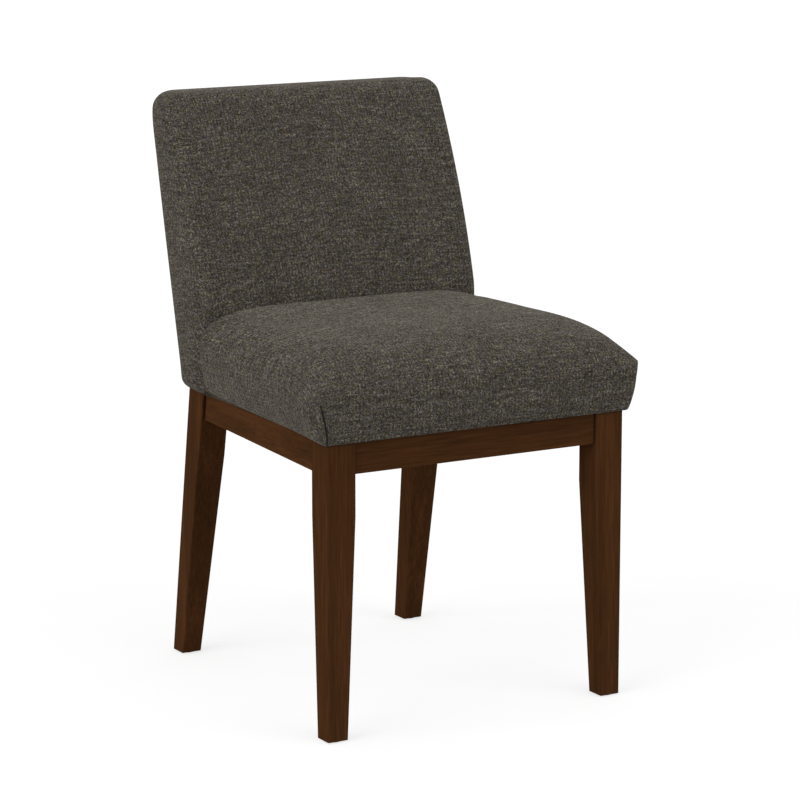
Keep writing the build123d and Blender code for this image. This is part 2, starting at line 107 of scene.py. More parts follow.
weave = {
    "threadMm": 1.5,  # drawn a little coarser than the cloth's own threads, so that it shows at this distance
    "speck": 0.66,  # how much the crossings differ in tone
    "unevenMm": [  # length along the weft, width, and share of the tone
        (60.0, 3.6, 0.3),  # bars of thicker weft
        (18.0, 1.6, 0.34),  # slubs
        (6.0, 4.0, 0.16),  # knots
        (70.0, 50.0, 0.1),  # slow clouds
    ],
    "ribMm": 5.2,  # warp ribs
    "rib": 0.045,
    "heatherMm": 9.0,  # size of the cooler and warmer patches
    "heather": (0.35, 0.65),  # noise at which a patch is all cool and all warm
    "cool": ["#2e2a29", "#47423f", "#605b57", "#938d87"],  # dark, middle, light and fleck
    "warm": ["#302b24", "#4a443a", "#655f51", "#a09680"],
    "stops": [0.12, 0.42, 0.72, 0.98],
    "sewn": "#292521",
    "sewnLine": (0.6, 0.88),  # seam value at which the line starts and is full
    "bump": 0.5,
    "bumpMm": 0.35,
    "roughness": 0.95,
    "gloss": 0.05,
    "sheen": 0.31,
    "sheenRoughness": 0.45,
    "sheenTint": "#b5aea0",
}


def wovenCloth(name, settings):
    # heathered upholstery cloth, a coarse plain weave of mixed charcoal, grey and beige yarns: matt, with a
    # tone of its own at each crossing, bars where the weft thickens, a fuzz that pales at a slant, and dark
    # sewn lines
    material, tree, shader = newMaterial(name)
    uv = addNode(tree, "ShaderNodeUVMap", {"uv_map": "cloth"}).outputs["UV"]
    pitch = settings["threadMm"] * mm
    threads = addNode(tree, "ShaderNodeVectorMath",
                      {"operation": "MULTIPLY", 1: (1 / pitch, 1 / pitch, 0)}, {0: uv})
    crossing = addNode(tree, "ShaderNodeVectorMath", {"operation": "FLOOR"}, {0: threads.outputs[0]})
    speck = addNode(tree, "ShaderNodeTexWhiteNoise", {"noise_dimensions": "2D"},
                    {"Vector": crossing.outputs[0]}).outputs["Value"]

    tones = []
    for long, wide, share in settings["unevenMm"]:
        spot = addNode(tree, "ShaderNodeVectorMath",
                       {"operation": "MULTIPLY", 1: (1 / (long * mm), 1 / (wide * mm), 0)}, {0: uv})
        noise = addNode(tree, "ShaderNodeTexNoise", {"noise_dimensions": "2D", "Scale": 1.0, "Detail": 1.0},
                        {"Vector": spot.outputs[0]})
        tones.append(addNode(tree, "ShaderNodeMath", {"operation": "MULTIPLY_ADD", 1: share, 2: -0.5 * share},
                             {0: noise.outputs["Fac"]}).outputs[0])
    turn = addNode(tree, "ShaderNodeVectorMath",
                   {"operation": "MULTIPLY", 1: (2 * math.pi / (settings["ribMm"] * mm), 0, 0)}, {0: uv})
    across = addNode(tree, "ShaderNodeSeparateXYZ", links={"Vector": turn.outputs[0]}).outputs["X"]
    rib = addNode(tree, "ShaderNodeMath", {"operation": "SINE"}, {0: across}).outputs[0]
    tones.append(addNode(tree, "ShaderNodeMath", {"operation": "MULTIPLY", 1: settings["rib"]},
                         {0: rib}).outputs[0])
    share = settings["speck"]
    tone = addNode(tree, "ShaderNodeMath", {"operation": "MULTIPLY_ADD", 1: share, 2: 0.5 - 0.5 * share},
                   {0: speck}).outputs[0]
    for part in tones:
        tone = addNode(tree, "ShaderNodeMath", {"operation": "ADD"}, {0: tone, 1: part}).outputs[0]

    patches = addNode(tree, "ShaderNodeTexNoise", {"noise_dimensions": "2D", "Detail": 1.0,
                                                   "Scale": 1 / (settings["heatherMm"] * mm)}, {"Vector": uv})
    coolest, warmest = settings["heather"]
    warmth = addNode(tree, "ShaderNodeMapRange", {"From Min": coolest, "From Max": warmest},
                     {"Value": patches.outputs["Fac"]}).outputs["Result"]
    yarns = [addNode(tree, "ShaderNodeValToRGB", {"stops": list(zip(settings["stops"], settings[kind]))},
                     {"Fac": tone}).outputs["Color"] for kind in ("cool", "warm")]
    cloth = addNode(tree, "ShaderNodeMix", {"data_type": "RGBA"}, {0: warmth, 6: yarns[0], 7: yarns[1]})
    seam = addNode(tree, "ShaderNodeAttribute", {"attribute_name": "seam"}).outputs["Fac"]
    start, full = settings["sewnLine"]
    line = addNode(tree, "ShaderNodeMapRange", {"From Min": start, "From Max": full}, {"Value": seam})
    color = addNode(tree, "ShaderNodeMix", {"data_type": "RGBA", 7: hexColor(settings["sewn"])},
                    {0: line.outputs["Result"], 6: cloth.outputs[2]})
    tree.links.new(color.outputs[2], shader.inputs["Base Color"])

    split = addNode(tree, "ShaderNodeSeparateXYZ", links={"Vector": threads.outputs[0]})
    rounds = []
    for axis in ("X", "Y"):
        angle = addNode(tree, "ShaderNodeMath", {"operation": "MULTIPLY", 1: math.pi},
                        {0: split.outputs[axis]})
        wave = addNode(tree, "ShaderNodeMath", {"operation": "SINE"}, {0: angle.outputs[0]})
        rounds.append(wave.outputs[0])
    over = addNode(tree, "ShaderNodeMath", {"operation": "MULTIPLY"}, {0: rounds[0], 1: rounds[1]})
    dome = addNode(tree, "ShaderNodeMath", {"operation": "ABSOLUTE"}, {0: over.outputs[0]})
    height = addNode(tree, "ShaderNodeMath", {"operation": "ADD"}, {0: dome.outputs[0], 1: tone})
    bump = addNode(tree, "ShaderNodeBump",
                   {"Strength": settings["bump"], "Distance": settings["bumpMm"] * mm},
                   {"Height": height.outputs[0]})
    tree.links.new(bump.outputs["Normal"], shader.inputs["Normal"])
    shader.inputs["Roughness"].default_value = settings["roughness"]
    shader.inputs["Specular IOR Level"].default_value = settings["gloss"]
    fuzz = addNode(tree, "ShaderNodeMath", {"operation": "MULTIPLY", 1: 2 * settings["sheen"]}, {0: tone})
    tree.links.new(fuzz.outputs[0], shader.inputs["Sheen Weight"])
    shader.inputs["Sheen Roughness"].default_value = settings["sheenRoughness"]
    shader.inputs["Sheen Tint"].default_value = hexColor(settings["sheenTint"])
    return material


stain = {
    "tones": ["#3c2615", "#4e311c", "#603d23"],  # dark, middle and light
    "stops": [0.33, 0.5, 0.68],
    "joint": "#1e120b",  # painted shade: the colour of shadow in the joints between the pieces and in recesses
    "jointMm": 4.5,
    "jointShade": (0.45, 0.8),  # openness up to which the painted shade is full, and where it ends
    "grainMm": 2.4,  # width of a grain line
    "figureMm": 34.0,  # width of the broad light and dark bands
    "figure": 0.45,  # share of the bands in the tone
    "streak": 26.0,  # length of the grain to its width
    "bump": 0.15,
    "bumpMm": 0.2,
    "roughness": (0.5, 0.65),
    "ior": 1.5,
    "gloss": 0.003,
    "glossTint": "#ffb055",
}


def stainedWalnut(name, axis, settings):
    # walnut stain under matt lacquer on a straight-grained hardwood: deep red brown, with fine darker pores
    # along the piece and slow broad bands, and only a trace of shine at a slant; joints and recesses get
    # painted shade
    material, tree, shader = newMaterial(name)
    place = addNode(tree, "ShaderNodeTexCoord").outputs["Object"]
    layers = []  # fine grain, crisp and straight, and broad figure, softer and wavier
    for width, detail, distortion, seed in ((settings["grainMm"], 4.0, 0.6, 2.3),
                                            (settings["figureMm"], 2.0, 0.9, 7.9)):
        scale = [1 / (width * mm)] * 3
        scale[axis] /= settings["streak"]
        spot = addNode(tree, "ShaderNodeMapping", {"Scale": scale, "Location": (seed, seed, seed)},
                       {"Vector": place}).outputs["Vector"]
        texture = {"Scale": 1.0, "Detail": detail, "Roughness": 0.55, "Distortion": distortion}
        layers.append(addNode(tree, "ShaderNodeTexNoise", texture, {"Vector": spot}).outputs["Fac"])
    grain, figure = layers
    tone = addNode(tree, "ShaderNodeMix", {0: settings["figure"]}, {2: grain, 3: figure}).outputs[0]
    stops = list(zip(settings["stops"], settings["tones"]))
    color = addNode(tree, "ShaderNodeValToRGB", {"stops": stops}, {"Fac": tone})
    # painted shade: where ambient occlusion finds the joints between the pieces and the recesses under the
    # cover, the colour darkens as if in shadow
    near = addNode(tree, "ShaderNodeAmbientOcclusion", {"Distance": settings["jointMm"] * mm, "samples": 16})
    full, end = settings["jointShade"]
    joint = addNode(tree, "ShaderNodeMapRange", {"From Min": full, "From Max": end},
                    {"Value": near.outputs["AO"]})
    shade = addNode(tree, "ShaderNodeMix", {"data_type": "RGBA", 6: hexColor(settings["joint"])},
                    {0: joint.outputs["Result"], 7: color.outputs["Color"]})
    tree.links.new(shade.outputs[2], shader.inputs["Base Color"])
    low, high = settings["roughness"]
    polish = addNode(tree, "ShaderNodeMapRange", {"To Min": low, "To Max": high}, {"Value": grain})
    tree.links.new(polish.outputs["Result"], shader.inputs["Roughness"])
    bump = addNode(tree, "ShaderNodeBump",
                   {"Strength": settings["bump"], "Distance": settings["bumpMm"] * mm},
                   {"Height": grain})
    tree.links.new(bump.outputs["Normal"], shader.inputs["Normal"])
    shader.inputs["IOR"].default_value = settings["ior"]
    shader.inputs["Specular IOR Level"].default_value = settings["gloss"]
    shader.inputs["Specular Tint"].default_value = hexColor(settings["glossTint"])
    return material


def speckled(name, dark, light, grainMm, roughness, metallic=0.0, bumpMm=0.05):
    # a plain finish with a fine uneven tone, for the hidden and small pieces
    material, tree, shader = newMaterial(name)
    place = addNode(tree, "ShaderNodeTexCoord").outputs["Object"]
    texture = {"Scale": 1 / (grainMm * mm), "Detail": 3.0, "Roughness": 0.6}
    noise = addNode(tree, "ShaderNodeTexNoise", texture, {"Vector": place}).outputs["Fac"]
    color = addNode(tree, "ShaderNodeValToRGB", {"stops": [(0.3, dark), (0.7, light)]}, {"Fac": noise})
    tree.links.new(color.outputs["Color"], shader.inputs["Base Color"])
    bump = addNode(tree, "ShaderNodeBump", {"Strength": 0.3, "Distance": bumpMm * mm}, {"Height": noise})
    tree.links.new(bump.outputs["Normal"], shader.inputs["Normal"])
    shader.inputs["Roughness"].default_value = roughness
    shader.inputs["Metallic"].default_value = metallic
    return material


charcoalCloth = wovenCloth("charcoal_weave", weave)
walnutAlong = [stainedWalnut("walnut_along_" + "xyz"[axis], axis, stain) for axis in range(3)]
finishes = {
    "block": speckled("planed_poplar", "#b08a58", "#cfae7d", grainMm=9.0, roughness=0.7),
    "glide": speckled("moulded_nylon", "#141414", "#1e1d1c", grainMm=1.5, roughness=0.5),
    "zinc": speckled("zinc_plated_steel", "#8d8f90", "#b5b6b4", grainMm=2.0, roughness=0.35, metallic=1.0),
    "jute": speckled("woven_jute", "#7c6339", "#a58a5c", grainMm=2.0, roughness=0.9, bumpMm=0.3),
    "nonwoven": speckled("nonwoven_dust_cloth", "#0d0d0d", "#1d1c1b", grainMm=1.2, roughness=0.9, bumpMm=0.1),
}
print("materials made")


# Pads
def spaced(count, pinch):
    # shares of a side's length, closer together at both ends: s - pinch sin(2 pi s)/(2 pi), without the ends
    share = np.linspace(0, 1, count + 1)[1:-1]
    return share - pinch * np.sin(2 * math.pi * share) / (2 * math.pi)


cornerSteps = 8  # steps of a corner's arc


def plans(halfFront, halfRear, front, rear, radiusFront, radiusRear, grid):
    # rounded plans, one per level, counter-clockwise from the seam at the front left corner: corner arcs
    # c + r(cos a, sin a) and points spaced along the straight sides; all sizes are arrays over the levels
    signs = [(1, -1), (1, 1), (-1, 1), (-1, -1)]
    arcs = []
    for index, (right, back) in enumerate(signs):
        half, radius, edge = (halfRear, radiusRear, rear) if back > 0 else (halfFront, radiusFront, front)
        turn = np.radians(-90 + 90 * index + np.linspace(0, 90, cornerSteps + 1))
        x = (right * (half - radius))[:, None] + radius[:, None] * np.cos(turn)
        y = (edge - back * radius)[:, None] + radius[:, None] * np.sin(turn)
        arcs.append(np.stack([x, y], -1))
    seam = grid["seamStep"]  # steps of the front corners' arcs that count as front
    side = grid["along"] - cornerSteps * 3 // 2 + seam
    counts = [side, grid["across"] - cornerSteps, side, grid["across"] - 2 * seam]  # from the right round
    ring = []
    for index, count in enumerate(counts):
        start = arcs[index][:, -1:]
        end = arcs[(index + 1) % 4][:, :1]
        ring += [arcs[index], start + (end - start) * spaced(count, grid["pinch"])[:, None]]
    return np.roll(np.concatenate(ring, 1), grid["across"] - seam, 1)


def ringSides(ring, grid):
    # front and rear from left to right, left and right from front to rear
    nx, ny = grid["across"], grid["along"]
    closed = np.concatenate([ring, ring[:1]])
    return (closed[:nx + 1], closed[nx + ny:2 * nx + ny + 1][::-1], closed[2 * nx + ny:][::-1],
            closed[nx:nx + ny + 1])


def patch(ring, grid):
    # Coons patch: (1 - v)F(u) + vR(u) + (1 - u)L(v) + uS(v), less the corners' bilinear share
    front, rear, left, right = ringSides(ring, grid)
    u = np.linspace(0, 1, grid["across"] + 1)[None, :, None]
    v = np.linspace(0, 1, grid["along"] + 1)[:, None, None]
    ruled = (1 - v) * front + v * rear + (1 - u) * left[:, None] + u * right[:, None]
    corners = (1 - v) * ((1 - u) * front[0] + u * front[-1]) + v * ((1 - u) * rear[0] + u * rear[-1])
    return ruled - corners


def lengths(points, axis):
    # running length along the points' rows or columns
    steps = np.linalg.norm(np.diff(points, axis=axis), axis=-1)
    start = np.zeros_like(np.take(steps, [0], axis))
    return np.concatenate([start, np.cumsum(steps, axis)], axis)


def hangingMap(wall, top, grid):
    # flat cloth of a cover whose sides hang from its top: running lengths over the top, drawn tighter towards
    # the rear, v - tight v^2/2L, and running lengths on down each side
    u = lengths(top, 1)
    u -= u[:, [grid["across"] // 2]]
    v = lengths(top, 0)
    rim = np.stack([u, v], -1)
    front, rear, left, right = rim[0], rim[-1], rim[:, 0], rim[:, -1]
    flatTop = np.stack([u, v - grid["tight"] * v ** 2 / (2 * v[-1:])], -1)
    closed = np.concatenate([wall, wall[:, :1]], 1)
    down = lengths(closed[::-1], 0)[::-1, :, None]
    nx, ny = grid["across"], grid["along"]
    sides = []
    for edge, way, start in ((front, (0, -1), 0), (right, (1, 0), nx), (rear[::-1], (0, 1), nx + ny),
                             (left[::-1], (-1, 0), 2 * nx + ny)):
        sides.append(edge + np.array(way) * down[:, start:start + len(edge)])
    return flatTop, sides


def wrappingMap(wall, top, grid):
    # flat cloth of a cover that wraps round its sides: running lengths round each level, up and over the top
    nx, ny = grid["across"], grid["along"]
    closed = np.concatenate([wall, wall[:, :1]], 1)
    around = lengths(closed, 1)
    around -= around[:, [nx // 2]]
    up = lengths(closed, 0)
    flat = np.stack([around, up], -1)
    corners = (0, nx, nx + ny, 2 * nx + ny, 2 * (nx + ny))
    sides = [flat[:, start:end + 1] for start, end in zip(corners, corners[1:])]
    over = up[-1, :nx + 1] + lengths(top, 0)
    flatTop = np.stack([top[..., 0], over], -1)
    return flatTop, sides


def cells(table):
    # the four corners of each cell between a table's rows and columns, counter-clockwise
    corners = np.stack([table[:-1, :-1], table[:-1, 1:], table[1:, 1:], table[1:, :-1]], 2)
    return corners.reshape(-1, 4, *table.shape[2:])


def padMesh(name, wall, top, clothMap, grid):
    # closed skin: the wall's rings (levels, points, 3), a patch over them and a flat patch below
    levels, count = wall.shape[:2]
    nx, ny = grid["across"], grid["along"]
    bottom = patch(wall[0], grid)
    points = [wall.reshape(-1, 3)]
    total = levels * count
    faces = []
    maps = []
    flatTop, flatSides = clothMap(wall, top, grid)
    ring = np.arange(count)
    for plan, level, flat in ((top, levels - 1, flatTop), (bottom, 0, bottom[..., :2])):
        ids = np.empty((ny + 1, nx + 1), int)
        ids[0], ids[-1], ids[:, 0], ids[:, -1] = ringSides(ring + level * count, grid)
        ids[1:-1, 1:-1] = total + np.arange((nx - 1) * (ny - 1)).reshape(ny - 1, nx - 1)
        total += (nx - 1) * (ny - 1)
        points.append(plan[1:-1, 1:-1].reshape(-1, 3))
        turn = 1 if level else -1
        faces.append(cells(ids)[:, ::turn])
        maps.append(cells(flat)[:, ::turn])
    starts = (0, nx, nx + ny, 2 * nx + ny)
    for start, flat in zip(starts, flatSides):
        ids = np.arange(levels)[:, None] * count + (start + np.arange(flat.shape[1])) % count
        faces.append(cells(ids))
        maps.append(cells(flat))
    mesh = bpy.data.meshes.new(name)
    mesh.from_pydata(np.concatenate(points).tolist(), [], np.concatenate(faces).tolist())
    mesh.uv_layers.new(name="cloth").data.foreach_set("uv", np.concatenate(maps).ravel())
    mesh.polygons.foreach_set("use_smooth", np.ones(len(mesh.polygons), bool))
    mesh.update()
    piece = bpy.data.objects.new(name, mesh)
    bpy.context.scene.collection.objects.link(piece)
    return piece


def vertexArray(mesh, kind):
    # the places ("co") or directions ("normal") of a mesh's points
    values = np.empty(len(mesh.vertices) * 3)
    mesh.vertices.foreach_get(kind, values)
    return values.reshape(-1, 3)


def evened(mesh, values, rounds):
    # each point's value averaged with its neighbours', several times over
    edges = np.empty(len(mesh.edges) * 2, int)
    mesh.edges.foreach_get("vertices", edges)
    first, second = edges.reshape(-1, 2).T
    around = np.bincount(edges, minlength=len(values))[:, None]
    for _ in range(rounds):
        total = np.zeros_like(values)
        np.add.at(total, first, values[second])
        np.add.at(total, second, values[first])
        values = 0.5 * values + 0.5 * total / around
    return values


cushion = {
    "pressure": 4.0,
    "start": 0.3 * mm,  # how much smaller the cover starts
    "cap": 1.4 * mm,  # the most that it swells
    "stiffness": 25.0,
    "bending": 4.0,
    "quality": 4,
    "steps": 20,
    "evenStart": 4,  # rounds of evening out the start, and the swell
    "evenSwell": 6,
}


def plump(piece, sewn):
    # cloth under pressure from a slightly smaller start, with the sewn edges held; the foam keeps it from
    # moving in, so only its travel outwards counts, and that is limited
    mesh = piece.data
    points = vertexArray(mesh, "co")
    normal = vertexArray(mesh, "normal")
    held = sewn(points)
    loose = ~held[:, None]
    start = points - normal * evened(mesh, loose * cushion["start"], cushion["evenStart"])
    mesh.vertices.foreach_set("co", start.ravel())
    group = piece.vertex_groups.new(name="sewn")
    group.add(np.flatnonzero(held).tolist(), 1.0, "REPLACE")
    cloth = piece.modifiers.new("cloth", "CLOTH")
    cloth.settings.quality = cushion["quality"]
    cloth.settings.use_pressure = True
    cloth.settings.uniform_pressure_force = cushion["pressure"]
    cloth.settings.vertex_group_mass = group.name
    cloth.settings.effector_weights.gravity = 0
    cloth.settings.tension_stiffness = cushion["stiffness"]
    cloth.settings.compression_stiffness = cushion["stiffness"]
    cloth.settings.bending_stiffness = cushion["bending"]
    scene = bpy.context.scene
    for step in range(1, cushion["steps"] + 1):
        scene.frame_set(step)
    swelled = piece.evaluated_get(bpy.context.evaluated_depsgraph_get())
    travel = vertexArray(swelled.to_mesh(), "co") - start
    swelled.to_mesh_clear()
    piece.modifiers.remove(cloth)
    piece.vertex_groups.clear()
    scene.frame_set(1)
    out = (travel * normal).sum(1, keepdims=True)
    rise = evened(mesh, np.clip(out, 0, cushion["cap"]) * loose, cushion["evenSwell"])
    mesh.vertices.foreach_set("co", (start + normal * rise).ravel())
    mesh.update()
    most, kept = np.round(out.max() / mm, 1), np.round(rise.max() / mm, 1)
    print(piece.name, "swelled by up to", most, "mm, kept", kept, "mm")


def finishPiece(piece, material, slotName, *replaced):
    piece.data.materials.append(material)
    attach(piece, "root")
    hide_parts(*replaced)


def subdivide(piece):
    finer = piece.modifiers.new("finer", "SUBSURF")
    finer.levels = 1
    finer.render_levels = 1


# Seat
seat = {
    "sideSwell": 23 * mm,  # sides past the lower edge at the seat's widest
    "frontSwell": 9 * mm,
    "overhang": 3.5 * mm,  # lower edge past the legs
    "frontDrop": 1 * mm,  # lower edge below the frame at the front
    "sideLift": 2 * mm,  # lower edge above the frame along the sides
    "liftReach": 90 * mm,
    "edgeHeight": 64.3 * mm,  # lower edge up to the widest line
    "crown": 61.5 * mm,  # widest line up to the top
    "frontReach": 182 * mm,  # how far back the crown keeps rising
    "crossPower": (5.9, 2.65),
    "frontPower": (2.7, 2.0, 1.12),  # rise, roll of the front edge in the middle, and at the corners
    "rollShare": 5.0,  # how late the front edge's roll tightens towards the corners
    "sidePower": 1.8,
    "corner": 22 * mm,
    "creaseRoll": 9 * mm,
    "sewnEdge": 6 * mm,  # held strip along the lower edge
    "sewnCrease": 3 * mm,  # held strip along the back
    "dartDepth": 1.2 * mm,
    "dartWay": (0.38, 0.92),  # how far across and how far back a dart is drawn in
    "dartFree": 2,  # levels of points at the top that the dark line leaves out
    "dartSlant": (4.0, 5.5),  # columns of points that each dart's lower end lies further round the seat
    "slantReach": 7.0,  # columns of points beside a dart that slide with it
    "grid": {"across": 84, "along": 66, "seamStep": 3, "pinch": 0.62, "wall": 16, "wallPinch": 1.4,
             "tight": 0.6},
}


def seatHalf(y):
    return legLine(y) + seat["overhang"] + seat["sideSwell"]


seatFront = frontFace - seat["overhang"] - seat["frontSwell"]
seatWidest = hemLine + seat["edgeHeight"]


def seatTop(x, y):
    # height of the crown: rise from the front (1 - (1 - s)^p)^(1/q), with s the share of the reach and q
    # falling from the middle to the corners, times (1 - |x/half|^p)^(1/q) across, with a roll into the crease
    p, middle, end = seat["frontPower"]
    side = np.minimum(np.abs(x) / seatHalf(y), 1)
    q = middle + (end - middle) * side ** seat["rollShare"]
    s = np.clip((y - seatFront) / seat["frontReach"], 0, 1)
    rise = np.maximum(1 - (1 - s) ** p, 0) ** (1 / q)
    p, q = seat["crossPower"]
    across = np.maximum(1 - side ** p, 0) ** (1 / q)
    roll = seat["creaseRoll"]
    near = np.clip((y - (crease - roll)) / roll, 0, 1)
    return seatWidest + seat["crown"] * rise * across - roll * (1 - np.sqrt(1 - near ** 2))


def slantDarts(wall, share, grid):
    # the columns of points round each dart slide along their level, the lower the further: slant (1 - h)
    # exp(-(k/reach)^2) columns, with k the columns from the dart
    count = wall.shape[1]
    column = np.arange(count)
    place = np.broadcast_to(column, wall.shape[:2]).astype(float)
    for dart, slant in zip((0, grid["across"]), seat["dartSlant"]):
        k = (column - dart + count // 2) % count - count // 2
        place = place + slant * (1 - share)[:, None] * np.exp(-(k / seat["slantReach"]) ** 2)
    low = np.floor(place).astype(int)
    part = (place - low)[..., None]
    level = np.arange(len(wall))[:, None]
    return (1 - part) * wall[level, low % count] + part * wall[level, (low + 1) % count]


def seatSkin():
    # the wall: the widest outline moved in by swell (1 - (1 - (1 - h)^p)^(1/p)) at height h; the crown: a
    # patch over that outline, lifted to the crown's height
    grid = seat["grid"]
    one = np.ones(1)
    outline = plans(one * seatHalf(seatFront), one * seatHalf(crease), one * seatFront, one * crease,
                    one * seat["corner"], one * seat["creaseRoll"], grid)[0]
    ahead = np.roll(outline, -1, 0) - np.roll(outline, 1, 0)
    normal = np.stack([ahead[:, 1], -ahead[:, 0]], -1) / np.linalg.norm(ahead, axis=1, keepdims=True)
    normal[:, 1] = np.minimum(normal[:, 1], 0)  # the rear lies flat on the back
    share = np.linspace(0, 1, grid["wall"] + 1) ** grid["wallPinch"]
    power = seat["sidePower"]
    inset = 1 - np.maximum(1 - (1 - share) ** power, 0) ** (1 / power)
    plan = outline - inset[:, None, None] * normal * np.array([seat["sideSwell"], seat["frontSwell"]])
    behind = np.clip((outline[:, 1] - seatFront) / seat["liftReach"], 0, 1)
    hem = hemLine - seat["frontDrop"] + (seat["frontDrop"] + seat["sideLift"]) * behind
    rim = seatTop(outline[:, 0], outline[:, 1])
    wall = np.concatenate([plan, (hem + (rim - hem) * share[:, None])[..., None]], -1)
    wall = slantDarts(wall, share, grid)
    top = patch(wall[-1], grid)
    top[1:-1, 1:-1, 2] = seatTop(top[1:-1, 1:-1, 0], top[1:-1, 1:-1, 1])
    return wall, top


def seatSewn(points):
    return (points[:, 2] < hemLine + seat["sewnEdge"]) | (points[:, 1] > crease - seat["sewnCrease"])


def sewDarts(piece):
    # a dart up each front corner: its column of points drawn in by depth sqrt(1 - h^4), kept sharp and marked
    # for the dark line
    mesh = piece.data
    grid = seat["grid"]
    levels = grid["wall"] + 1
    count = 2 * (grid["across"] + grid["along"])
    points = vertexArray(mesh, "co")
    seam = np.zeros(len(points))
    sharp = np.zeros(len(mesh.edges))
    ends = np.empty(len(mesh.edges) * 2, int)
    mesh.edges.foreach_get("vertices", ends)
    ends = ends.reshape(-1, 2)
    climb = np.linspace(0, 1, levels)
    fade = np.sqrt(1 - climb ** 4)
    across, backward = seat["dartWay"]
    sewn = slice(levels - seat["dartFree"])
    for column, side in ((0, -1), (grid["across"], 1)):
        dart = np.arange(levels) * count + column
        points[dart] -= seat["dartDepth"] * fade[:, None] * np.array([side * across, -backward, 0])
        seam[dart[sewn]] = 2 - climb[sewn]  # wider below, where the columns are closer
        sharp[np.isin(ends, dart).all(1)] = 1
    mesh.vertices.foreach_set("co", points.ravel())
    mesh.attributes.new("seam", "FLOAT", "POINT").data.foreach_set("value", seam)
    mesh.attributes.new("crease_edge", "FLOAT", "EDGE").data.foreach_set("value", sharp)
    mesh.update()


seatPad = padMesh("seat_pad", *seatSkin(), hangingMap, seat["grid"])
plump(seatPad, seatSewn)
sewDarts(seatPad)
subdivide(seatPad)
finishPiece(seatPad, charcoalCloth, "charcoal_weave", "seat_cover", "seat_batting", "seat_foam")
print("seat pad made,", len(seatPad.data.vertices), "points")


# Back
back = {
    "halfWidth": backHigh.x,
    "lean": math.radians(13.3),
    "overhang": 1 * mm,  # outside back behind the rear legs
    "depthSeat": 123 * mm,
    "depthTop": 79 * mm,
    "frontCorner": 24 * mm,
    "rearCorner": 46 * mm,
    "frontEdge": (20 * mm, 20 * mm),  # roll of the top edge at the front: how far in and how far down
    "rearEdge": (30 * mm, 54 * mm),
    "sideEdge": ((26 * mm, 24 * mm), (10 * mm, 130 * mm)),  # the same at the sides: roll, and a slow taper
    "cornerFall": 0.7,  # how much the corners tighten with the top edge's roll
    "cornerLimit": 0.45,  # largest corner to the depth there
    "tuck": 17 * mm,
    "topLift": 0.2 * mm,  # what the smoothing takes off the top edge
    "sewnEdge": 6 * mm,  # held strip along the lower edge
    "sewnRear": 6 * mm,  # and along the outside back
    "sewnSeat": 4 * mm,  # and where the seat covers it
    "grid": {"across": 72, "along": 24, "seamStep": 4, "pinch": 0.5, "wall": 54, "tuck": 8, "edge": 18},
}
seatTopLine = seatHigh.z
backTop = backHigh.z + back["topLift"]


def outsideBack(z):
    return baseRear + back["overhang"] + math.tan(back["lean"]) * (z - frontLegHigh.z)


def insideBack(z):
    # upright behind the seat, then leaning with the outside back, with a depth that falls off as rise^2
    height = np.maximum(z, seatTopLine)
    rise = (height - seatTopLine) / (backHigh.z - seatTopLine)
    depth = back["depthSeat"] - (back["depthSeat"] - back["depthTop"]) * rise ** 2
    return outsideBack(height) - depth


def backSkin():
    # rounded plans at each height; the lower edge tucks in, and the top edge rolls over with one radius at
    # the front and a taller one at the rear: inset a(1 - sqrt(1 - h^2)), with h the share of the roll climbed
    grid = back["grid"]
    tuck = back["tuck"]
    turn = np.radians(np.linspace(0, 90, grid["tuck"]))
    low = hemLine + tuck * (1 - np.cos(turn))
    high = backTop - back["rearEdge"][1] * (1 - np.sin(np.radians(np.linspace(0, 90, grid["edge"]))))
    middle = np.linspace(low[-1], high[0], grid["wall"] - len(low) - len(high) + 3)[1:-1]
    z = np.concatenate([low, middle, high])
    share = np.concatenate([np.sin(turn), np.ones(len(z) - len(turn))])
    falls = []
    for inward, downward in (back["frontEdge"], back["rearEdge"], *back["sideEdge"]):
        climbed = np.clip((z - (backTop - downward)) / downward, 0, 1)
        falls.append(inward * (1 - np.sqrt(1 - climbed ** 2)))
    fallFront, fallRear, fallSide, taper = falls
    lowFront = legLine(crease) + seat["overhang"]
    lowRear = legLine(baseRear) + seat["overhang"]
    halfFront = lowFront + (back["halfWidth"] - lowFront) * share - fallFront
    halfRear = lowRear + (back["halfWidth"] - lowRear) * share - fallSide - taper
    front = insideBack(z) + fallFront
    rear = outsideBack(z) - fallRear
    limit = back["cornerLimit"] * (rear - front)
    radiusFront = np.minimum(back["frontCorner"] - back["cornerFall"] * fallFront, limit)
    radiusRear = np.minimum(back["rearCorner"] - back["cornerFall"] * fallRear, limit)
    plan = plans(halfFront, halfRear, front, rear, radiusFront, radiusRear, grid)
    height = np.broadcast_to(z[:, None, None], (*plan.shape[:2], 1))
    wall = np.concatenate([plan, height], -1)
    return wall, patch(wall[-1], grid)


def backSewn(points):
    low = points[:, 2] < hemLine + back["sewnEdge"]
    behind = points[:, 1] > outsideBack(points[:, 2]) - back["sewnRear"]
    atSeat = (points[:, 1] < crease + back["sewnSeat"]) & (points[:, 2] < seatTopLine)
    return low | behind | atSeat


backPad = padMesh("back_pad", *backSkin(), wrappingMap, back["grid"])
plump(backPad, backSewn)
subdivide(backPad)
finishPiece(backPad, charcoalCloth, "charcoal_weave",
            "back_cover", "back_batting", "back_foam", "back_rear_pad")
print("back pad made,", len(backPad.data.vertices), "points")


# Outside back
panel = {
    "corner": 26 * mm,
    "proud": 2.2 * mm,  # how far it stands off the pad
    "crown": 2 * mm,
    "clearance": 0.3 * mm,
    "grid": {"across": 64, "along": 52, "seamStep": 4, "pinch": 0.6, "wall": 6, "tight": 0.0},
}
panelTall = (panelHigh.z - panelLow.z) / math.cos(back["lean"])


